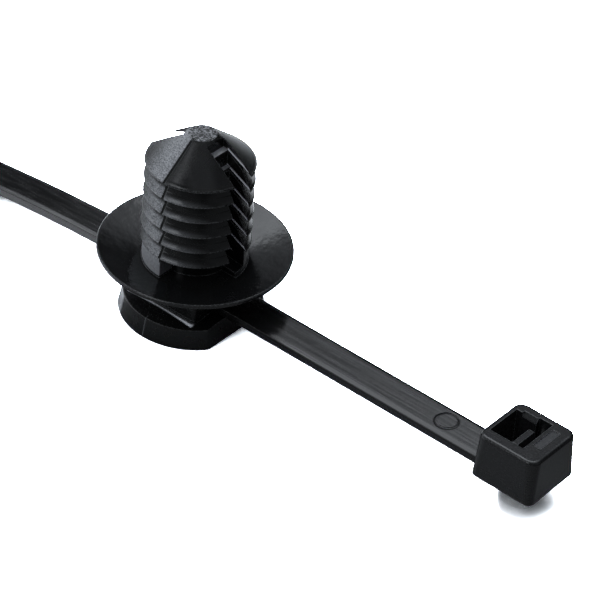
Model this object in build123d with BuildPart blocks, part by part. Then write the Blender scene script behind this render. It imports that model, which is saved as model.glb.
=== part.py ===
from build123d import *
import math
import os

# Fir tree cable tie, in millimetres.
# Two mouldings: a cable tie (strap, toothed underside, head and pawl in one piece)
# and a push-in mount (foot, saddle, dished disc and barbed tree in one piece) that
# is threaded on the strap and slides along it.
# Origin: centre of the mount's flat foot. +Z up the tree, +X along the strap to the head.

# Strap
strap_width = 4.6
strap_thickness = 1.25
strap_lift = 3.05
strap_bevel_width = 0.5
strap_bevel_drop = 0.15
strap_edge_chamfer = 0.12
mount_to_head = 43.55
bend_start = 3.0
fall_radius = 235.0
lift_radius = 190.0
flat_tail = 44.0
taper_length = 13.0
tip_width = 2.4

# Teeth under the strap, between two plain rails
tooth_pitch = 1.2
tooth_depth = 0.4
tooth_land = 0.22
rail_width = 0.8
plain_neck = 15.0
plain_tail = 20.0

# Grip ridges on the tail and the round ejector mark near the head
ridge_count = 8
ridge_pitch = 1.5
ridge_width = 0.6
ridge_height = 0.22
ridge_side = 0.7
mark_radius = 1.4
mark_groove = 0.24
mark_depth = 0.08
mark_shift = 0.2
mark_to_head = 6.45

# Head: a block that narrows a little towards its top
head_length = 8.2
head_width = 8.2
head_height = 5.9
head_draft_ends = 0.17
head_draft_sides = 0.15
head_foot_corner = 0.75
head_top_corner = 1.25
head_top_round = 0.38
head_bottom_edge = 0.26
window_length = 4.45
window_side_play = 0.1
window_from_front = 0.85
lead_in_from_front = 0.8
lead_in_length = 1.9
lead_in_width = 0.4
lead_in_depth = 0.75
relief_depth = 0.6
relief_length = 1.75
pad_length = 1.0
pad_width = 3.6
pad_depth = 0.12
pad_shift = 0.55
pad_from_window = 0.45

# Pawl inside the head, hinged on the far wall of the window
pawl_width = 3.0
pawl_top_below = 0.85
pawl_top_from_wall = 1.3
pawl_top_thickness = 0.85
pawl_hinge_height = 1.0
pawl_hinge_thickness = 1.1
pawl_tooth = 0.38
pawl_teeth = 3

# Mount: foot
foot_radius = 8.55
foot_flat_cut = 1.55
foot_rim = 2.4
foot_draft_angle = 11.0
foot_corner = 0.9

# Mount: saddle that the strap runs through
saddle_length = 9.8
saddle_width = 11.0
saddle_corner = 0.4
plinth_margin = 0.2
plinth_rise = 0.25
strap_side_play = 0.35
strap_under_play = 0.12
strap_over_play = 0.3
mouth_flare = 0.45
mouth_depth = 1.5
run_out_slope = 0.18

# Mount: dished disc
disc_radius = 11.35
disc_rim_top = 8.65
disc_rim_thickness = 0.45
disc_well_radius = 6.2
disc_well_top = 7.2
disc_well_thickness = 0.9
disc_rim_round = 0.12

# Mount: barbed tree
tree_top = 24.35
nose_height = 3.8
tip_radius = 1.75
tip_edge = 0.22
barb_radius = 6.37
barb_count = 6
barb_pitch = 2.1
barb_under_angle = 26.0
barb_face_lean = 30.0
barb_slit = 0.4
slit_radius = 2.9
stem_radius = 4.0
collar_radius = 6.1

# Mount: slot that splits the tree into two springy halves, and the web left in it
slot_width = 2.9
slot_shift = 0.15
slot_floor_rise = 0.5
web_top = 1.8
web_middle = 2.5
web_foot = 2.95
web_upper_step = 1.75
web_lower_step = 3.85
web_step_drop = 0.12

# How far cutting shapes run past the surfaces they open
overrun = 1.0

# Values that follow from the ones above
strap_top = strap_lift + strap_thickness
strap_mid = strap_lift + strap_thickness / 2
sag_angle = math.degrees(math.acos(1 - strap_lift / (fall_radius + lift_radius)))
head_bottom = strap_lift
head_top = head_bottom + head_height
head_far = mount_to_head + head_length
window_near = mount_to_head + window_from_front
window_far = window_near + window_length
window_width = strap_width + 2 * window_side_play
channel_floor = strap_lift - strap_under_play
channel_top = strap_top + strap_over_play
channel_width = strap_width + 2 * strap_side_play
disc_well_bottom = disc_well_top - disc_well_thickness
under_rise = math.tan(math.radians(barb_under_angle))
face_run = math.tan(math.radians(barb_face_lean))
top_lip = tree_top - nose_height
low_lip = top_lip - (barb_count - 1) * barb_pitch

os.makedirs("parts", exist_ok=True)


# The cable tie, one moulding.
# The strap's centre line runs level from the head through the mount, then falls to the
# surface in one long arc and levels out in another.
with BuildLine(Plane.XZ) as centre_line:
    level = Line((mount_to_head + head_draft_ends + head_bottom_edge, strap_mid), (-bend_start, strap_mid))
    fall = JernArc(level @ 1, level % 1, fall_radius, sag_angle)
    land = JernArc(fall @ 1, fall % 1, lift_radius, -sag_angle)
    rest = Line(land @ 1, (land @ 1) + Vector(-flat_tail, 0, 0))
strap_line = centre_line.wires()[0]
tail_end = rest @ 1
tail_start = land @ 1

with BuildPart() as cable_tie:
    # Head: a block drafted on all four sides, with softened edges.
    head_middle = mount_to_head + head_length / 2
    with BuildSketch(Plane.XY.offset(head_bottom)) as head_foot:
        with Locations((head_middle, 0)):
            RectangleRounded(head_length, head_width, head_foot_corner)
    with BuildSketch(Plane.XY.offset(head_top)) as head_crown:
        with Locations((head_middle, 0)):
            RectangleRounded(
                head_length - 2 * head_draft_ends,
                head_width - 2 * head_draft_sides,
                head_top_corner,
            )
    loft(sections=[head_foot.sketch.face(), head_crown.sketch.face()])
    fillet(cable_tie.faces().sort_by(Axis.Z)[-1].edges(), head_top_round)
    chamfer(cable_tie.faces().sort_by(Axis.Z)[0].edges(), head_bottom_edge)

    # Strap section: flat top with two shallow bevels, small chamfers below.
    with BuildSketch(Plane(origin=level @ 0, x_dir=(0, -1, 0), z_dir=(-1, 0, 0))) as section:
        half = strap_width / 2
        rise = strap_thickness / 2
        with BuildLine():
            Polyline(
                (half - strap_edge_chamfer, -rise),
                (half, -rise + strap_edge_chamfer),
                (half, rise - strap_bevel_drop),
                (half - strap_bevel_width, rise),
                (-half + strap_bevel_width, rise),
                (-half, rise - strap_bevel_drop),
                (-half, -rise + strap_edge_chamfer),
                (-half + strap_edge_chamfer, -rise),
                close=True,
            )
        make_face()
    sweep(path=strap_line)

    # The tail narrows to a rounded tip.
    with BuildSketch(Plane.XY.offset(-overrun)) as trim:
        with Locations((tail_end.X + taper_length / 2 - overrun, 0)):
            Rectangle(taper_length + 2 * overrun, strap_width + 2 * overrun)
        with BuildLine():
            tip_half = tip_width / 2
            shoulder = Line((tail_end.X + taper_length + overrun, strap_width / 2),
                            (tail_end.X + taper_length, strap_width / 2))
            flank = Line(shoulder @ 1, (tail_end.X + tip_half, tip_half))
            nose = ThreePointArc(flank @ 1, (tail_end.X, 0), (tail_end.X + tip_half, -tip_half))
            far_flank = Line(nose @ 1, (tail_end.X + taper_length, -strap_width / 2))
            far_shoulder = Line(far_flank @ 1, (tail_end.X + taper_length + overrun, -strap_width / 2))
            Line(far_shoulder @ 1, shoulder @ 0)
        make_face(mode=Mode.SUBTRACT)
    extrude(amount=strap_thickness + 2 * overrun, mode=Mode.SUBTRACT)

    # Teeth: saw-tooth gullets cut up into the underside along the centre line.
    tooth_total = int((strap_line.length - plain_tail - plain_neck) / tooth_pitch)
    with BuildSketch(Plane.XZ) as gullets:
        for step in range(tooth_total):
            along = (plain_neck + step * tooth_pitch) / strap_line.length
            spot = strap_line.position_at(along)
            aim = strap_line.tangent_at(along)
            turn = math.degrees(math.atan2(-aim.Z, -aim.X))
            with Locations(Location((spot.X, spot.Z, 0), (0, 0, turn))):
                Polygon(
                    (tooth_land / 2, -strap_thickness / 2 - 0.2),
                    (tooth_land / 2, -strap_thickness / 2 + tooth_depth),
                    (tooth_pitch - tooth_land / 2, -strap_thickness / 2),
                    (tooth_pitch - tooth_land / 2, -strap_thickness / 2 - 0.2),
                    align=None,
                )
    extrude(amount=strap_width / 2 - rail_width, both=True, mode=Mode.SUBTRACT)

    # Grip ridges across the tail.
    ridge_middle = tail_end.X + taper_length + ridge_count * ridge_pitch / 2 + 1
    with BuildSketch(Plane.XY.offset(strap_thickness - 0.05)) as ridges:
        with Locations((ridge_middle, 0)):
            with GridLocations(ridge_pitch, 1, ridge_count, 1):
                Rectangle(ridge_width, strap_width - 2 * ridge_side)
    extrude(amount=ridge_height + 0.05)

    # Round ejector mark on top of the strap.
    with BuildSketch(Plane.XY.offset(strap_top - mark_depth)) as mark:
        with Locations((mount_to_head - mark_to_head, mark_shift)):
            Circle(mark_radius)
            Circle(mark_radius - mark_groove, mode=Mode.SUBTRACT)
    extrude(amount=mark_depth + overrun, mode=Mode.SUBTRACT)

    # Window through the head, wide enough for the strap.
    with BuildSketch(Plane.XY.offset(head_bottom - overrun)) as window:
        with Locations(((window_near + window_far) / 2, 0)):
            Rectangle(window_length, window_width)
    extrude(amount=head_height + 2 * overrun, mode=Mode.SUBTRACT)

    # Lead-in slope at the top of one side wall, a side relief by the pawl, and a shallow pad.
    with BuildSketch(Plane.YZ.offset(window_near + lead_in_from_front)) as lead_in:
        Polygon(
            (window_width / 2 - 0.1, head_top - lead_in_depth),
            (window_width / 2 + lead_in_width, head_top),
            (window_width / 2 + lead_in_width, head_top + overrun),
            (window_width / 2 - 0.1, head_top + overrun),
            align=None,
        )
    extrude(amount=lead_in_length, mode=Mode.SUBTRACT)
    with BuildSketch(Plane.XY.offset(head_bottom - overrun)) as relief:
        with Locations((window_far - relief_length / 2, window_width / 2)):
            Rectangle(relief_length, 2 * relief_depth)
    extrude(amount=head_height + 2 * overrun, mode=Mode.SUBTRACT)
    with BuildSketch(Plane.XY.offset(head_top - pad_depth)) as pad:
        with Locations((window_far + pad_from_window + pad_length / 2, pad_shift)):
            Rectangle(pad_length, pad_width)
    extrude(amount=pad_depth + overrun, mode=Mode.SUBTRACT)

    # Pawl: a tongue that rises from the far wall and leans its teeth towards the strap.
    pawl_top = head_top - pawl_top_below
    pawl_back = window_far - pawl_top_from_wall
    pawl_face = pawl_back - pawl_top_thickness
    hinge_low = head_bottom + pawl_hinge_height
    tooth_base = hinge_low + 0.5
    tooth_step = (pawl_top - 0.3 - tooth_base) / pawl_teeth
    face_points = [(window_far + 0.3, hinge_low), (window_far - 0.9, hinge_low)]
    for tooth in range(pawl_teeth):
        foot_z = tooth_base + tooth * tooth_step
        face_points.append((pawl_face + pawl_tooth, foot_z))
        face_points.append((pawl_face, foot_z + tooth_step * 0.72))
    face_points.append((pawl_face + pawl_tooth * 0.4, pawl_top))
    face_points.append((pawl_back, pawl_top))
    face_points.append((window_far, hinge_low + pawl_hinge_thickness))
    face_points.append((window_far + 0.3, hinge_low + pawl_hinge_thickness))
    with BuildSketch(Plane.XZ) as pawl:
        with BuildLine():
            Polyline(*face_points, close=True)
        make_face()
    extrude(amount=pawl_width / 2, both=True)
cable_tie.part.label = "cable_tie"


# The mount, one moulding.
with BuildPart() as fir_tree_mount:
    # Foot: a drafted disc cut flat across the strap, with a low crown.
    foot_top = foot_rim + (channel_floor - foot_rim) * 0.9
    foot_flat = foot_radius - foot_flat_cut
    crown_slope = (foot_top - foot_rim) / (foot_radius - saddle_width / 2)
    with BuildSketch() as foot_outline:
        Circle(foot_radius)
        Rectangle(2 * foot_flat, 2 * foot_radius, mode=Mode.INTERSECT)
        fillet(foot_outline.vertices(), foot_corner)
    extrude(amount=foot_top, taper=foot_draft_angle)
    with BuildSketch(Plane.XZ) as above_crown:
        with BuildLine():
            Polyline(
                (saddle_width / 2, foot_top),
                (foot_radius + overrun, foot_rim - overrun * crown_slope),
                (foot_radius + overrun, foot_top + overrun),
                (saddle_width / 2, foot_top + overrun),
                close=True,
            )
        make_face()
    revolve(axis=Axis.Z, mode=Mode.SUBTRACT)

    # Saddle block on a narrow plinth.
    with BuildSketch(Plane.XY.offset(foot_rim)) as saddle:
        RectangleRounded(saddle_length, saddle_width, saddle_corner)
    extrude(amount=disc_well_bottom + 0.3 - foot_rim)
    with BuildSketch(Plane.XY.offset(foot_rim)) as plinth:
        RectangleRounded(
            saddle_length, saddle_width + 2 * plinth_margin, saddle_corner
        )
    extrude(amount=channel_floor + plinth_rise - foot_rim)

    # Dished disc, thin at the rim.
    with BuildSketch(Plane.XZ) as disc_half:
        with BuildLine():
            Polyline(
                (0, disc_well_bottom),
                (disc_well_radius - 0.6, disc_well_bottom),
                (disc_radius, disc_rim_top - disc_rim_thickness),
                (disc_radius, disc_rim_top - disc_rim_round),
                (disc_radius - disc_rim_round, disc_rim_top),
                (disc_well_radius, disc_well_top),
                (0, disc_well_top),
                close=True,
            )
        make_face()
    revolve(axis=Axis.Z)

    # Tree blank: stem, straight body and 45 degree nose with a blunt rounded tip.
    with BuildSketch(Plane.XZ) as tree_half:
        with BuildLine():
            Polyline(
                (0, disc_well_bottom + 0.2),
                (stem_radius, disc_well_bottom + 0.2),
                (stem_radius, low_lip + (barb_radius - stem_radius) * under_rise),
                (barb_radius, low_lip),
                (barb_radius, top_lip),
                (tip_radius + tip_edge / 2, tree_top - tip_edge),
                (tip_radius - tip_edge, tree_top),
                (0, tree_top),
                close=True,
            )
        make_face()
    revolve(axis=Axis.Z)

    # Collars that carry the lowest barb, in two opposite quarters.
    collar_top = low_lip + (barb_radius - stem_radius) * under_rise
    with BuildSketch(Plane.XY.offset(disc_well_bottom + 0.2)) as collars:
        with Locations((-collar_radius / 2, -collar_radius / 2), (collar_radius / 2, collar_radius / 2)):
            Rectangle(collar_radius, collar_radius)
        Circle(collar_radius, mode=Mode.INTERSECT)
    extrude(amount=collar_top - disc_well_bottom - 0.2)

    # Grooves between the barbs: each leaves a sloping underside, a steep outer face
    # and a thin slit that runs in towards the core.
    under_at_slit = top_lip + (barb_radius - slit_radius) * under_rise
    face_low = top_lip - barb_pitch
    # where the steep outer face meets the slit
    gap_rise = barb_pitch - barb_slit
    knee_rise = gap_rise / (1 - under_rise * face_run)
    knee_radius = barb_radius - knee_rise * face_run
    with BuildSketch(Plane.XZ) as grooves:
        for barb in range(barb_count - 1):
            with Locations((0, -barb * barb_pitch)):
                Polygon(
                    (barb_radius + overrun, top_lip - overrun * under_rise),
                    (slit_radius, under_at_slit),
                    (knee_radius, face_low + knee_rise),
                    (barb_radius, face_low),
                    (barb_radius + overrun, face_low),
                    align=None,
                )
    revolve(axis=Axis.Z, mode=Mode.SUBTRACT)

    # Slot along the strap, open at both ends, with a stepped web left in the middle.
    with BuildSketch(Plane.XZ.offset(-slot_shift)) as slots:
        with BuildLine():
            Polyline(
                (web_top, tree_top + overrun),
                (web_top, tree_top - web_upper_step),
                (web_middle, tree_top - web_upper_step - web_step_drop),
                (web_middle, tree_top - web_lower_step),
                (web_foot, tree_top - web_lower_step - web_step_drop),
                (web_foot, disc_well_top + 2 * slot_floor_rise),
                (barb_radius + overrun, disc_well_top + slot_floor_rise),
                (barb_radius + overrun, tree_top + overrun),
                close=True,
            )
        make_face()
        mirror(about=Plane.YZ)
    extrude(amount=slot_width / 2, both=True, mode=Mode.SUBTRACT)

    # Channel for the strap through the saddle, with flared mouths.
    channel_height = channel_top - channel_floor
    with BuildSketch(Plane.YZ.offset(-saddle_length / 2 - overrun)) as channel:
        with Locations((0, channel_floor + channel_height / 2)):
            Rectangle(channel_width, channel_height)
    extrude(amount=saddle_length + 2 * overrun, mode=Mode.SUBTRACT)
    for side in (1, -1):
        with BuildSketch(Plane.YZ.offset(side * (saddle_length / 2 - mouth_depth))) as throat:
            with Locations((0, channel_floor + channel_height / 2)):
                Rectangle(channel_width, channel_height)
        with BuildSketch(Plane.YZ.offset(side * (saddle_length / 2 + 0.01))) as mouth:
            with Locations((0, channel_floor + (channel_height + mouth_flare) / 2)):
                Rectangle(channel_width + 2 * mouth_flare, channel_height + mouth_flare)
        loft(sections=[throat.sketch.face(), mouth.sketch.face()], mode=Mode.SUBTRACT)

    # The foot falls away in front of both mouths.
    with BuildSketch(Plane.XZ) as run_out:
        with BuildLine():
            Polyline(
                (saddle_length / 2, channel_floor),
                (foot_radius, channel_floor - (foot_radius - saddle_length / 2) * run_out_slope),
                (foot_radius, channel_top),
                (saddle_length / 2, channel_top),
                close=True,
            )
        make_face()
        mirror(about=Plane.YZ)
    extrude(amount=channel_width / 2 + mouth_flare, both=True, mode=Mode.SUBTRACT)
fir_tree_mount.part.label = "fir_tree_mount"


export_step(cable_tie.part, "parts/cable_tie.step")
export_step(fir_tree_mount.part, "parts/fir_tree_mount.step")
print("strap line", round(strap_line.length, 2), "tail end", tail_end, "sag angle", round(sag_angle, 2))
print("barb lips from", round(top_lip, 2), "down to", round(low_lip, 2), "channel", channel_width, channel_height)
print("tie solids", len(cable_tie.part.solids()), "mount solids", len(fir_tree_mount.part.solids()))
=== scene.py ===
import math

import bpy
from mathutils import Matrix, Vector

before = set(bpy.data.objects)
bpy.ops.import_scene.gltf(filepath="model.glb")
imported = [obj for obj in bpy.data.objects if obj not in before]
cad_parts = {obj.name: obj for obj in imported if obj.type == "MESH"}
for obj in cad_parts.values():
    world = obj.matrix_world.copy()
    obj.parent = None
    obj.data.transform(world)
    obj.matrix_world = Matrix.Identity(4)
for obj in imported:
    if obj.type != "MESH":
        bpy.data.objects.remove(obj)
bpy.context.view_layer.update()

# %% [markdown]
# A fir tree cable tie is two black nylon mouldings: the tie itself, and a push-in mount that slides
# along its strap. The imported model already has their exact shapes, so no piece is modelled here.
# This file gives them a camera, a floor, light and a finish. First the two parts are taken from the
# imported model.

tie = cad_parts["cable_tie"]
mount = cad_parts["fir_tree_mount"]

# %% [markdown]
# The photograph is taken with a long lens close to a small object, looking down at 38 degrees and
# leaning a few degrees to one side. A camera can be moved by hand until the picture fits, but here
# its place comes from numbers, each of which can be corrected alone: a target on the floor, two
# angles, a distance and a roll. The lens is given in pixels of the picture, as measured there.

# %% Camera
AIM = Vector((0.0084321, 0.0095788, 0.0))
TURN, RAISE, ROLL = math.radians(36.7537), math.radians(37.8324), math.radians(5.1952)
AWAY = 0.3961356
SENSOR_WIDTH, LENS_PIXELS, PICTURE_PIXELS = 36, 3401, 600
NEAREST_SEEN = 0.01

right = Vector((math.cos(TURN), math.sin(TURN), 0))
back = Vector((
    math.sin(TURN) * math.cos(RAISE),
    -math.cos(TURN) * math.cos(RAISE),
    math.sin(RAISE),
))
up = back.cross(right)
lens_right = right * math.cos(ROLL) + up * math.sin(ROLL)
lens_up = up * math.cos(ROLL) - right * math.sin(ROLL)

camera_data = bpy.data.cameras.new("camera")
camera_data.sensor_width = SENSOR_WIDTH
camera_data.lens = SENSOR_WIDTH * LENS_PIXELS / PICTURE_PIXELS
camera_data.clip_start = NEAREST_SEEN
camera = bpy.data.objects.new("camera", camera_data)
bpy.context.scene.collection.objects.link(camera)
pose = Matrix((lens_right, lens_up, back)).transposed().to_4x4()
pose.translation = AIM + back * AWAY
camera.matrix_world = pose
bpy.context.scene.camera = camera
print("camera at", tuple(round(v, 4) for v in pose.translation), "lens", round(camera_data.lens, 1))

# %% [markdown]
# A procedural finish is a graph of nodes. It can be drawn in the shader editor, but a graph of a
# hundred nodes is easier to read as lines of arithmetic. These helpers make that possible: each one
# adds a node or two, feeds it, and returns its output, which the next line takes in.

# %% Helpers for node graphs
def new_graph(owner):
    """An empty node graph for a material or a world."""
    owner.use_nodes = True
    graph = owner.node_tree
    graph.nodes.clear()
    return graph


def add_node(graph, kind, **values):
    """A new node, with each value put on the socket or the setting of that name."""
    node = graph.nodes.new(kind)
    for name, value in values.items():
        socket = node.inputs.get(name.replace("_", " "))
        if socket is None:
            setattr(node, name, value)
        else:
            socket.default_value = value
    return node


def feed(graph, value, socket):
    """Links another node's output to a socket, or sets a plain value on it."""
    if isinstance(value, bpy.types.NodeSocket):
        graph.links.new(value, socket)
    else:
        socket.default_value = value


def maths(graph, operation, *values):
    """The result of a Math node."""
    node = add_node(graph, "ShaderNodeMath", operation=operation)
    for socket, value in zip(node.inputs, values):
        feed(graph, value, socket)
    return node.outputs[0]


def vector_maths(graph, operation, *values):
    """The result of a Vector Math node: a number for a dot product or distance, else a vector."""
    node = add_node(graph, "ShaderNodeVectorMath", operation=operation)
    for socket, value in zip(node.inputs, values):
        feed(graph, value, socket)
    return node.outputs["Value" if operation in ("DOT_PRODUCT", "DISTANCE") else "Vector"]


bpy.context.scene.view_settings.view_transform = "Standard"
print("view transform", bpy.context.scene.view_settings.view_transform)

# %% [markdown]
# Most of the work is done by masks: numbers that are 1 where a finish belongs and 0 elsewhere. A
# mask could be painted, but a painted one is a picture, and has to be stored. Here each is a soft
# step in some measure, such as height, and masks are multiplied where all of them have to hold.

# %% Helpers for masks
def ramp(graph, value, low, high, to_low=0.0, to_high=1.0):
    """A soft slope: to_low up to low, and to_high from high on."""
    node = add_node(graph, "ShaderNodeMapRange", interpolation_type="SMOOTHSTEP")
    ends = {"From Min": low, "From Max": high, "To Min": to_low, "To Max": to_high}
    for name, number in ends.items():
        node.inputs[name].default_value = number
    graph.links.new(value, node.inputs["Value"])
    return node.outputs["Result"]


def above(graph, value, edge, soft):
    """A mask: 1 above the edge, 0 below it, and soft on either side of it."""
    return ramp(graph, value, edge - soft, edge + soft)


def below(graph, value, edge, soft):
    """A mask: 1 below the edge, 0 above it, and soft on either side of it."""
    return ramp(graph, value, edge + soft, edge - soft)


def product(graph, *values):
    """All the values multiplied: for masks, the place where every one of them is 1."""
    result = values[0]
    for value in values[1:]:
        result = maths(graph, "MULTIPLY", result, value)
    return result


def plus(graph, base, more, times=1.0):
    """The base with more on top, that many times."""
    return maths(graph, "MULTIPLY_ADD", more, times, base)


def blend(graph, mask, outside, inside):
    """The value outside where the mask is 0, and the one inside where it is 1."""
    node = add_node(graph, "ShaderNodeMix", data_type="FLOAT")
    for name, value in (("Factor", mask), ("A", outside), ("B", inside)):
        feed(graph, value, node.inputs[name])
    return node.outputs["Result"]


print("masks: ramp, above, below, product, plus, blend")

# %% [markdown]
# The floor is plain white paper. A photographer would light it until it clips, but that would light
# the object too much, so here the paper itself is brighter to the camera than to the lamps: the
# Light Path node tells the two apart. The nylon stands so low that its shadow is only a thin dark
# line of contact. The Ambient Occlusion node finds it, as it measures how closed in each spot of
# the floor is, and it is told to look further under the head, whose shadow is broad. In reflections
# the paper is a mid grey, with a painted pool of light on the mount's left and painted shade behind
# the object on the right.

# %% Floor
FLOOR_WIDTH = 4
PAPER_SEEN, PAPER_MIRRORED, PAPER_LEFT_PAINTED_LIGHT, PAPER_PAINTED_SHADE = 20.0, 0.38, 2.2, 0.04
# Direction in degrees from +X, metres where the tone starts and where it is full, and the tone.
MIRRORED_PAINTED_LIGHT_AND_SHADE = [(53, 0.015, 0.07, PAPER_PAINTED_SHADE), (165, 0.005, 0.010, PAPER_LEFT_PAINTED_LIGHT)]
SHADOW_REACH, HEAD_SHADOW_REACH = 0.0022, 0.024
HEAD_SHADOW_CENTRE, HEAD_SHADOW_RADIUS, HEAD_SHADOW_CORE = (0.0549, 0.0032, 0.0), 0.0112, 0.6
DARKEST_CONTACT, CONTACT_STARTS, SHADOW_SAMPLES = 0.03, 0.4, 24

bpy.ops.object.select_all(action="DESELECT")
bpy.ops.mesh.primitive_plane_add(size=FLOOR_WIDTH, location=(0, 0, 0))
floor = bpy.context.object
floor.name = "floor"
paper = bpy.data.materials.new("white_paper")
g = new_graph(paper)
light_path = add_node(g, "ShaderNodeLightPath").outputs
seen = maths(g, "MAXIMUM", light_path["Is Camera Ray"], light_path["Is Transmission Ray"])
place = add_node(g, "ShaderNodeTexCoord").outputs["Object"]

from_head = vector_maths(g, "DISTANCE", place, HEAD_SHADOW_CENTRE)
core = HEAD_SHADOW_RADIUS * HEAD_SHADOW_CORE
near_head = ramp(g, from_head, HEAD_SHADOW_RADIUS, core, 0.0, HEAD_SHADOW_REACH)
closed_in = add_node(g, "ShaderNodeAmbientOcclusion", samples=SHADOW_SAMPLES)
feed(g, plus(g, SHADOW_REACH, near_head), closed_in.inputs["Distance"])
contact = ramp(g, closed_in.outputs["AO"], CONTACT_STARTS, 1.0, DARKEST_CONTACT, 1.0)

# The paper's grey in reflections, with the painted light on the left and the painted shade on the
# right.
mirrored = PAPER_MIRRORED
for turn, start, full, tone in MIRRORED_PAINTED_LIGHT_AND_SHADE:
    way = (math.cos(math.radians(turn)), math.sin(math.radians(turn)), 0)
    along = vector_maths(g, "DOT_PRODUCT", place, way)
    mirrored = plus(g, mirrored, ramp(g, along, start, full, 0.0, tone - PAPER_MIRRORED))
mirrored = maths(g, "MAXIMUM", mirrored, PAPER_PAINTED_SHADE)

matte = add_node(g, "ShaderNodeBsdfDiffuse")
out = add_node(g, "ShaderNodeOutputMaterial")
feed(g, blend(g, seen, mirrored, product(g, contact, PAPER_SEEN)), matte.inputs["Color"])
feed(g, matte.outputs[0], out.inputs[0])
floor.data.materials.append(paper)
print("floor", tuple(floor.dimensions))

# %% [markdown]
# The room beyond the floor is white to the camera. Reflections see a studio instead, which could be
# a photographed one wrapped round the scene, but a few soft round patches of light on a dark ground
# do as well and can be moved one by one. The widest are low on the left and high behind, and those
# on the right and on the camera's side are faint. Black plastic shows little but what it reflects,
# so the edges of these patches give the disc, the strap and the barbs their change from black to
# grey.

# %% Room
ROOM_DARK = 0.045
ROOM_COLOUR, SEEN_COLOUR = (0.93, 0.99, 1.06, 1), (1, 1, 1, 1)


def towards(turn, rise):
    """The direction turn degrees round from +X and rise degrees up."""
    a, e = math.radians(turn), math.radians(rise)
    return Vector((math.cos(a) * math.cos(e), math.sin(a) * math.cos(e), math.sin(e)))


# The middle of each patch, how many degrees from it the light starts and is full, and its radiance.
PATCHES = [
    (towards(194, 12), 56, 28, 0.85),
    (towards(128, 66), 38, 17, 1.25),
    (towards(22, 55), 34, 14, 0.12),
    (towards(-45, 60), 28, 10, 0.35),
    (towards(275, 12), 48, 20, 0.12),
    (towards(5, 6), 48, 20, 0.16),
]
world = bpy.data.worlds.new("studio")
bpy.context.scene.world = world
g = new_graph(world)
looking = add_node(g, "ShaderNodeTexCoord").outputs["Generated"]
radiance = ROOM_DARK
for middle, start, full, most in PATCHES:
    facing = vector_maths(g, "DOT_PRODUCT", looking, middle)
    start, full = math.cos(math.radians(start)), math.cos(math.radians(full))
    radiance = plus(g, radiance, ramp(g, facing, start, full, 0.0, most))

room = add_node(g, "ShaderNodeBackground", Color=ROOM_COLOUR)
white = add_node(g, "ShaderNodeBackground", Color=SEEN_COLOUR, Strength=1.0)
light_path = add_node(g, "ShaderNodeLightPath").outputs
seen = maths(g, "MAXIMUM", light_path["Is Camera Ray"], light_path["Is Transmission Ray"])
either = add_node(g, "ShaderNodeMixShader")
out = add_node(g, "ShaderNodeOutputWorld")
feed(g, radiance, room.inputs["Strength"])
for value, socket in zip((seen, room.outputs[0], white.outputs[0]), either.inputs):
    feed(g, value, socket)
feed(g, either.outputs[0], out.inputs[0])
print("room with", len(PATCHES), "pale patches")

# %% [markdown]
# Softboxes are area lamps. A wide one hangs behind and above the object for the pale reflections on
# flat tops, one in front and to the left lights the middle of the cone, and a weaker one stands far
# left for the grained side of the barbs. Their power is worked out from the radiance of their face,
# so that a softbox can change its size and still look as bright in a reflection.

# %% Lamps
LAMP_COLOUR = (0.95, 0.995, 1.05)
LAMP_AWAY = 1.0


def softbox(name, turn, rise, size, radiance):
    """A rectangular lamp in that direction, facing the object."""
    data = bpy.data.lights.new(name, "AREA")
    data.shape = "RECTANGLE"
    data.size, data.size_y = size
    data.color = LAMP_COLOUR
    data.energy = radiance * math.pi * size[0] * size[1]
    lamp = bpy.data.objects.new(name, data)
    bpy.context.scene.collection.objects.link(lamp)
    way = towards(turn, rise)
    lamp.location = way * LAMP_AWAY
    lamp.rotation_euler = way.to_track_quat("Z", "Y").to_euler()
    print(name, "turn", turn, "rise", rise, "size", size, "radiance", radiance)


softbox("back_softbox", 138, 57, (0.68, 0.5), 2.8)
softbox("front_left_softbox", 256, 45, (0.46, 0.5), 3.0)
softbox("left_softbox", 185, 30, (0.35, 0.3), 1.6)

# %% [markdown]
# Both mouldings are black nylon, but no two faces of them look the same, because each takes its
# skin from its own piece of the mould. Blotches, specks and streaks are all noise of some size.
# It could follow a UV map, but that needs seams, and the pattern breaks at each of them, so it is
# laid out in the object's own coordinates. They are turned into millimetres, as on a drawing.

# %% Places and noise
MILLIMETRE = 0.001
NOISE_ROUGHNESS = 0.6
NOISE_LOW, NOISE_HIGH = 0.3, 0.7


def millimetres(graph):
    """The place on the object in millimetres, as a vector and as x, y and z."""
    place = add_node(graph, "ShaderNodeTexCoord").outputs["Object"]
    where = vector_maths(graph, "MULTIPLY", place, (1 / MILLIMETRE,) * 3)
    apart = add_node(graph, "ShaderNodeSeparateXYZ")
    feed(graph, where, apart.inputs[0])
    return where, apart.outputs["X"], apart.outputs["Y"], apart.outputs["Z"]


def noise(graph, where, per_mm, detail, stretch=(1, 1, 1), distortion=0.0):
    """Noise with per_mm blotches to the millimetre; stretch below 1 draws it out on that axis."""
    node = add_node(graph, "ShaderNodeTexNoise", Scale=per_mm, Detail=detail,
                    Roughness=NOISE_ROUGHNESS, Distortion=distortion)
    feed(graph, vector_maths(graph, "MULTIPLY", where, stretch), node.inputs["Vector"])
    return node.outputs["Fac"]


def spread(graph, pattern, low, high, start=NOISE_LOW, end=NOISE_HIGH):
    """A noise, which hardly leaves start to end, stretched so that it runs from low to high."""
    return ramp(graph, pattern, start, end, low, high)


print("noise is stretched from", NOISE_LOW, "to", NOISE_HIGH)

# %% [markdown]
# Relief that is finer than the mesh is a bump, which tilts the normal and leaves the shape alone.
# An edge could be rounded with a Bevel modifier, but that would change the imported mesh. The Bevel
# node only bends the normals at a sharp edge, as the small radius of a real edge does, and costs no
# faces. Where its normal leaves the true one is also where a real edge is rubbed paler.

# %% Relief and edges
BEVEL_SAMPLES = 6
AGREES, DISAGREES = 0.998, 0.93


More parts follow.
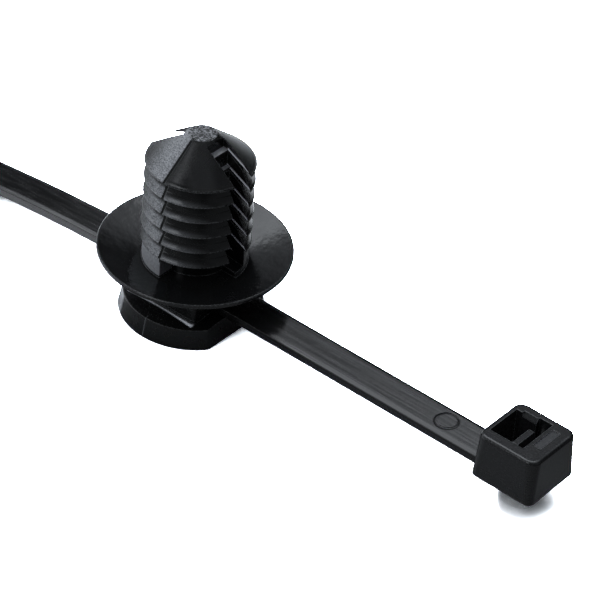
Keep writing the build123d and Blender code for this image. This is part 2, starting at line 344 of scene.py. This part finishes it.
def bumped(graph, height, normal):
    """The normal, tilted by a relief whose height is in millimetres."""
    node = add_node(graph, "ShaderNodeBump", Distance=MILLIMETRE)
    feed(graph, height, node.inputs["Height"])
    feed(graph, normal, node.inputs["Normal"])
    return node.outputs[0]


def rounded(graph, radius):
    """The normal with each edge rounded to radius in mm, and a mask of the rubbed edges."""
    edge = add_node(graph, "ShaderNodeBevel", Radius=radius * MILLIMETRE, samples=BEVEL_SAMPLES)
    true = add_node(graph, "ShaderNodeNewGeometry").outputs["Normal"]
    agree = vector_maths(graph, "DOT_PRODUCT", edge.outputs[0], true)
    return edge.outputs[0], ramp(graph, agree, AGREES, DISAGREES)


print("an edge is rubbed where the normals agree to less than", AGREES)

# %% [markdown]
# The shader itself is the plain Principled one. Nylon is not clear or metallic, so three things
# make it: a nearly black colour, a low index of refraction, which keeps its reflections dim, and a
# roughness that changes from place to place.

# %% The shader of the nylon
NYLON_IOR = 1.38
NYLON_TINT = {"Red": 0.97, "Green": 0.99, "Blue": 1.04}
DEEP_BLACK = 0.006


def finish_nylon(graph, piece, material, tone, roughness, normal):
    """Gives the piece the material; tone is its grey, from nearly black to a rubbed edge's."""
    colour = add_node(graph, "ShaderNodeCombineColor")
    for channel, tint in NYLON_TINT.items():
        feed(graph, product(graph, tone, tint), colour.inputs[channel])
    bsdf = add_node(graph, "ShaderNodeBsdfPrincipled", IOR=NYLON_IOR)
    out = add_node(graph, "ShaderNodeOutputMaterial")
    feed(graph, colour.outputs[0], bsdf.inputs["Base Color"])
    feed(graph, roughness, bsdf.inputs["Roughness"])
    feed(graph, normal, bsdf.inputs["Normal"])
    feed(graph, bsdf.outputs[0], out.inputs[0])
    piece.data.materials.clear()
    piece.data.materials.append(material)
    print(piece.name, "has", material.name, "with", len(graph.nodes), "nodes")


print("nylon index", NYLON_IOR, "tone", DEEP_BLACK)

# %% [markdown]
# The mount is moulded between two slides that meet along the middle of the tree. The right one was
# polished and the left one was sparked, so the left half of the tree is a grey grain and the right
# half is gloss. It could have several materials, one for each group of faces, but the halves meet
# in the middle of a face, so one material with masks follows them better. These are the masks,
# made from the place on the mount and from the way that each face looks.

# %% Masks of the mount
TREE_FOOT, TREE_TOP, TIP_SKIN = 9.3, 24.35, 0.08
LIP_TOP, BARB_PITCH, BARB_RADIUS = 20.55, 2.1, 6.37
COLLAR_FOOT, COLLAR_TOP, COLLAR_RADIUS = 7.425, 9.9, 6.25
DISC_START, DISC_UNDERSIDE = 6.1, 6.75
MOUNT_EDGE_RADIUS, PARTING_HALF_WIDTH = 0.2, 0.15
LOOKS_OUT_A_LITTLE, LOOKS_OUT = 0.45, 0.6
LOOKS_UP, LOOKS_NEAR = 0.85, -0.94

mount_material = bpy.data.materials.new("moulded_nylon")
g = new_graph(mount_material)
where, x, y, z = millimetres(g)
from_middle, from_slot = maths(g, "ABSOLUTE", x), maths(g, "ABSOLUTE", y)
radius = maths(g, "SQRT", plus(g, product(g, y, y), x, x))
left, near = below(g, x, 0.0, 0.06), below(g, y, 0.0, 0.2)
on_tree, on_barbs = above(g, z, TREE_FOOT, 0.1), below(g, z, LIP_TOP, 0.02)
tip = above(g, z, TREE_TOP - TIP_SKIN, 0.04)
collar = product(g, above(g, z, COLLAR_FOOT, 0.075), below(g, z, COLLAR_TOP, 0.05),
                 below(g, radius, COLLAR_RADIUS, 0.05), left, near)
disc = product(g, above(g, radius, DISC_START, 0.3), above(g, z, DISC_UNDERSIDE, 0.15))
grain = maths(g, "MAXIMUM", product(g, left, on_tree), tip)

facing = add_node(g, "ShaderNodeNewGeometry").outputs["True Normal"]
facing_apart = add_node(g, "ShaderNodeSeparateXYZ")
feed(g, facing, facing_apart.inputs[0])
facing_up = above(g, facing_apart.outputs["Z"], LOOKS_UP, 0.05)
facing_near = below(g, facing_apart.outputs["Y"], LOOKS_NEAR, 0.04)
straight_out = vector_maths(g, "NORMALIZE", vector_maths(g, "MULTIPLY", where, (1, 1, 0)))
outward = vector_maths(g, "DOT_PRODUCT", facing, straight_out)
outer = product(g, ramp(g, outward, LOOKS_OUT_A_LITTLE, LOOKS_OUT), on_tree)
parting = product(g, below(g, from_middle, PARTING_HALF_WIDTH, 0.05), outer, near)
edge_normal, rubbed = rounded(g, MOUNT_EDGE_RADIUS)
speck = noise(g, where, 4.2, 6.0, (1.0, 1.0, 0.75))
fine_speck = noise(g, where, 7.0, 4.0)
cloud = noise(g, where, 0.5, 3.0)
print("masks of the mount:", len(g.nodes), "nodes")

# %% [markdown]
# Each barb's face flares a little towards its lip. The tilt is too slight to model, but it turns
# each band from dark at its top to pale at its lip, so it comes from a bump: a height that grows
# faster and faster down to the lip. It is only on the gloss half, because the grain hides it. The
# sparked grain, a faint orange peel on the disc and the thin groove where the slides met are bumps
# on top of it.

# %% Relief of the mount
FLARE, FLARE_LOWEST, FLARE_STARTS = 1.3, 0.76, 0.55
GRAIN_DEPTH, SKIN_DEPTH, PARTING_DEPTH = 0.02, 0.0015, 0.12
WAVE_DEPTH, PEEL_DEPTH = 0.06, 0.03

up_the_barb = maths(g, "FRACT", maths(g, "DIVIDE", maths(g, "SUBTRACT", z, LIP_TOP), BARB_PITCH))
down_the_barb = maths(g, "SUBTRACT", 1.0, up_the_barb)
bend = maths(g, "SUBTRACT", maths(g, "MAXIMUM", down_the_barb, FLARE_STARTS), FLARE_LOWEST)
flare = product(g, bend, bend, blend(g, left, FLARE, 0.0), outer, on_barbs)
flared = bumped(g, flare, edge_normal)
grain_relief = product(g, speck, plus(g, SKIN_DEPTH, grain, GRAIN_DEPTH))
peel = product(g, noise(g, where, 1.3, 3.0), PEEL_DEPTH)
disc_relief = product(g, plus(g, peel, noise(g, where, 0.3, 1.0), WAVE_DEPTH), disc)
relief = plus(g, maths(g, "ADD", grain_relief, disc_relief), parting, -PARTING_DEPTH)
mount_normal = bumped(g, relief, flared)
print("flare", FLARE, "grain", GRAIN_DEPTH, "parting", PARTING_DEPTH, "mm deep")

# %% [markdown]
# The gloss follows the mould too: the disc is the smoothest, the foot and the right half of the
# tree are satin, the far half of the nose is duller, and the grain, the collar and the parting
# groove are matt. Slow noise keeps any face from being even, as handling does.

# %% Gloss of the mount
SATIN_ROUGH, DISC_ROUGH, GRAIN_ROUGH = (0.16, 0.3), (0.08, 0.2), (0.5, 0.7)
COLLAR_ROUGH, FAR_NOSE_ROUGH, PARTING_ROUGH = 0.7, 0.42, 0.9
FAR_NOSE_Y = 1.8

far_nose = product(g, above(g, z, LIP_TOP + 0.1, 0.1), above(g, y, FAR_NOSE_Y, 0.1))
rough = blend(g, disc, spread(g, cloud, *SATIN_ROUGH), spread(g, cloud, *DISC_ROUGH))
rough = blend(g, grain, rough, spread(g, speck, *GRAIN_ROUGH))
rough = blend(g, collar, rough, COLLAR_ROUGH)
rough = blend(g, far_nose, rough, FAR_NOSE_ROUGH)
mount_rough = blend(g, parting, rough, PARTING_ROUGH)
print("roughness from", DISC_ROUGH[0], "on the disc to", PARTING_ROUGH, "in the groove")

# %% [markdown]
# The tone is nearly black. It is greyer in the grain, which fades to black round the left side and
# is painted dark in the upper half of each barb, a painted shade under the next lip. The blunt tip
# is speckled, the left collar is paler, and each barb on the gloss half has a painted highlight
# just above its lip, which fades towards the right.

# %% Tone of the tree
GRAIN_TONE, TIP_TONE, COLLAR_TONE = (0.07, 0.24), (0.01, 0.3), (0.26, 0.34)
GRAIN_FADES_X, GRAIN_FADES_TO = (-5.2, -0.8), (0.02, 1.3)
LIP_SHADE_SPAN, GRAIN_ON_NOSE = (0.4, 0.6), 1.1
RUBBED_TONE, LIP_HIGHLIGHT_TONE, LIP_HIGHLIGHT_FADES_X, LIP_HIGHLIGHT_HEIGHT = 0.06, 0.16, (5.5, 0.6), 0.38

# The grain's tone, with a painted shade that darkens the upper half of each barb under the next
# lip.
grain_tone = product(
    g,
    spread(g, fine_speck, *GRAIN_TONE, 0.38, 0.66),
    ramp(g, x, *GRAIN_FADES_X, *GRAIN_FADES_TO),
    blend(g, on_barbs, GRAIN_ON_NOSE, ramp(g, up_the_barb, *LIP_SHADE_SPAN, 1.0, 0.05)),
)
tone = blend(g, grain, DEEP_BLACK, grain_tone)
tone = blend(g, tip, tone, spread(g, speck, *TIP_TONE, 0.42, 0.64))
# The left collar is paler.
tone = blend(g, collar, tone, spread(g, speck, *COLLAR_TONE))
tone = plus(g, tone, rubbed, spread(g, speck, 0.0, RUBBED_TONE, 0.35, 0.65))
# A painted highlight on the gloss half: each barb is paler just above its lip, fading towards the
# right.
lip_highlight = product(
    g,
    ramp(g, up_the_barb, LIP_HIGHLIGHT_HEIGHT, 0.0),
    ramp(g, x, *LIP_HIGHLIGHT_FADES_X, 0.0, LIP_HIGHLIGHT_TONE),
    outer, on_barbs, above(g, x, 0.0, 0.05),
    spread(g, fine_speck, 0.6, 1.0, 0.35, 0.6),
)
tone = plus(g, tone, lip_highlight)
print("tones: grain", GRAIN_TONE, "tip", TIP_TONE, "collar", COLLAR_TONE, "lip_highlight", LIP_HIGHLIGHT_TONE)

# %% [markdown]
# The last touches are narrow places that catch the light, and most are painted highlights. Along
# the slot's far wall, each barb's underside ends in a painted highlight, a thin bright line sloped
# as the underside is. The ledges of the web in the slot and a thin strip at the foot of the
# saddle's wall have painted highlights, the foot's left end has a painted reflection, and a faint
# line across the foot where the slides met is pale. The lines could be slivers of mesh, but they
# stand no higher than the skin around them, so they are tones.

# %% Lines and pale places of the mount
UNDER_SLOPE = math.tan(math.radians(26))
WALL_LINE_WIDTH, WALL_LINE_X, WALL_LINE_Y, WALL_LINE_TOP = 0.135, 2.475, 1.05, TREE_TOP - 1.4
LEDGE_HALF_WIDTH, LEDGES_LOW, LEDGES_HIGH = 1.625, 19.15, 23.45
SADDLE_HIGHLIGHT_HALF_LENGTH, SADDLE_HIGHLIGHT_FAR, SADDLE_HIGHLIGHT_NEAR, SADDLE_HIGHLIGHT_LOW, SADDLE_HIGHLIGHT_HIGH = 4.875, -5.275, -5.85, 2.25, 2.85
FOOT_END_X, FOOT_END_Y, FOOT_END_TOP = -4.65, -3.8, 2.375
FOOT_LINE_HALF_WIDTH, FOOT_LINE_TOP = 0.075, 2.5
WALL_HIGHLIGHT_TONE, LEDGE_HIGHLIGHT_TONE, SADDLE_HIGHLIGHT_TONE = 0.85, 0.22, 0.8
FOOT_END_REFLECTION_TONE, FOOT_LINE_TONE, PARTING_TONE = 0.4, 0.07, 0.001

under_edge = plus(g, z, maths(g, "SUBTRACT", x, BARB_RADIUS), UNDER_SLOPE)
under_edge = maths(g, "DIVIDE", maths(g, "SUBTRACT", under_edge, LIP_TOP), BARB_PITCH)
# A painted highlight: a thin bright line along each barb's underside on the slot's far wall.
wall_highlight = product(
    g,
    below(g, maths(g, "FRACT", under_edge), WALL_LINE_WIDTH, 0.035),
    above(g, x, WALL_LINE_X, 0.075), facing_near, above(g, y, WALL_LINE_Y, 0.05),
    below(g, z, WALL_LINE_TOP, 0.2), on_tree,
)
# A painted highlight on the upward faces of the web's ledges in the slot.
ledge_highlight = product(g, below(g, from_slot, LEDGE_HALF_WIDTH, 0.025), facing_up,
                above(g, z, LEDGES_LOW, 0.15), below(g, z, LEDGES_HIGH, 0.15))
# A painted highlight: a thin pale strip along the foot of the saddle's near wall.
saddle_highlight = product(
    g,
    below(g, from_middle, SADDLE_HIGHLIGHT_HALF_LENGTH, 0.075),
    below(g, y, SADDLE_HIGHLIGHT_FAR, 0.075), above(g, y, SADDLE_HIGHLIGHT_NEAR, 0.1),
    below(g, z, SADDLE_HIGHLIGHT_HIGH, 0.15), above(g, z, SADDLE_HIGHLIGHT_LOW, 0.05),
)
# A painted reflection: the near side of the foot's left end is painted pale.
foot_end_reflection = product(g, below(g, x, FOOT_END_X, 0.35), below(g, z, FOOT_END_TOP, 0.075),
                   below(g, y, FOOT_END_Y, 0.4), spread(g, cloud, 0.6, 1.0, 0.2, 0.7))
foot_line = product(g, below(g, from_middle, FOOT_LINE_HALF_WIDTH, 0.025),
                    below(g, z, FOOT_LINE_TOP, 0.1))

tone = plus(g, tone, wall_highlight, WALL_HIGHLIGHT_TONE)
tone = plus(g, tone, ledge_highlight, LEDGE_HIGHLIGHT_TONE)
tone = blend(g, parting, tone, PARTING_TONE)
tone = plus(g, tone, saddle_highlight, SADDLE_HIGHLIGHT_TONE)
tone = plus(g, tone, foot_line, FOOT_LINE_TONE)
tone = plus(g, tone, foot_end_reflection, FOOT_END_REFLECTION_TONE)
finish_nylon(g, mount, mount_material, tone, mount_rough, mount_normal)

# %% [markdown]
# The strap is moulded in a long channel, so its gloss runs in faint streaks from end to end, with
# long fine scratches from handling. Noise that is stretched along X gives both. The head is thicker
# and shrinks as it cools, which tilts its top very slightly: that is too little to model but moves
# what it reflects, so it is a bump that rises steadily across the head.

# %% Masks and relief of the tie
HEAD_START = 43.4
HEAD_SINK = (0.026, -0.034, 0.0)
STREAK_DEPTH, SCRATCH_DEPTH, HEAD_GRAIN_DEPTH = 0.02, 0.0015, 0.007
TIE_EDGE_RADIUS = 0.15

tie_material = bpy.data.materials.new("drawn_nylon")
g = new_graph(tie_material)
where, x, y = millimetres(g)[:3]
head = above(g, x, HEAD_START, 0.2)
streak = noise(g, where, 2.2, 4.0, (0.04, 1.0, 1.0), 0.2)
scratch = noise(g, where, 9.0, 2.0, (0.02, 1.0, 1.0))
speck = noise(g, where, 4.5, 4.0)
cloud = noise(g, where, 0.35, 3.0)
edge_normal, rubbed = rounded(g, TIE_EDGE_RADIUS)
strap_height = plus(g, product(g, scratch, SCRATCH_DEPTH), streak, STREAK_DEPTH)
sink = vector_maths(g, "DOT_PRODUCT", where, HEAD_SINK)
head_height = plus(g, sink, speck, HEAD_GRAIN_DEPTH)
tie_normal = bumped(g, blend(g, head, strap_height, head_height), edge_normal)
print("streaks", STREAK_DEPTH, "scratches", SCRATCH_DEPTH, "mm deep")

# %% [markdown]
# Near the head, a pin of the mould leaves a round mark on the strap. Its groove is in the mesh, and
# here it only gets its matt black. The small sunk pad beside the window has a painted sheen that
# makes it a little paler, for the light its sunk face catches, and the head's corners and rims are
# rubbed pale, as they stand out furthest and touch everything first.

# %% Gloss and tone of the tie
RING_CENTRE, RING_RADIUS, RING_ROUGH, RING_TONE = (37.1, 0.0, 4.3), 1.4, 0.85, 0.001
PAD_START, PAD_END, PAD_NEAR, PAD_FAR, PAD_SHEEN_TONE = 49.3, 50.3, -1.25, 2.35, 0.03
STREAK_ROUGH, SCRATCH_ROUGH, HEAD_ROUGH = (0.08, 0.26), (0.0, 0.05), (0.08, 0.14)
HEAD_TONE, TIE_RUBBED_TONE, RUBBED_ROUGH, STRAP_RUB = (0.004, 0.016), (0.01, 0.1), 0.45, 0.3

strap_rough = maths(g, "ADD", spread(g, streak, *STREAK_ROUGH, 0.35, 0.65),
                    spread(g, scratch, *SCRATCH_ROUGH, 0.5, 0.8))
rough = blend(g, head, strap_rough, spread(g, cloud, *HEAD_ROUGH))
rough = blend(g, product(g, rubbed, head), rough, RUBBED_ROUGH)
# A painted sheen on the sunk pad beside the window.
pad_sheen = product(g, above(g, x, PAD_START, 0.02), below(g, x, PAD_END, 0.02),
              above(g, y, PAD_NEAR, 0.02), below(g, y, PAD_FAR, 0.02))
tone = blend(g, head, DEEP_BLACK, spread(g, speck, *HEAD_TONE, 0.3, 0.75))
rub = product(g, spread(g, speck, *TIE_RUBBED_TONE, 0.35, 0.65), blend(g, head, STRAP_RUB, 1.0))
tone = plus(g, plus(g, tone, rubbed, rub), pad_sheen, PAD_SHEEN_TONE)
from_ring = vector_maths(g, "DISTANCE", where, RING_CENTRE)
off_ring = maths(g, "ABSOLUTE", maths(g, "SUBTRACT", from_ring, RING_RADIUS))
ring = ramp(g, off_ring, 0.13, 0.06)
tone = blend(g, ring, tone, RING_TONE)
rough = blend(g, ring, rough, RING_ROUGH)
finish_nylon(g, tie, tie_material, tone, rough, tie_normal)
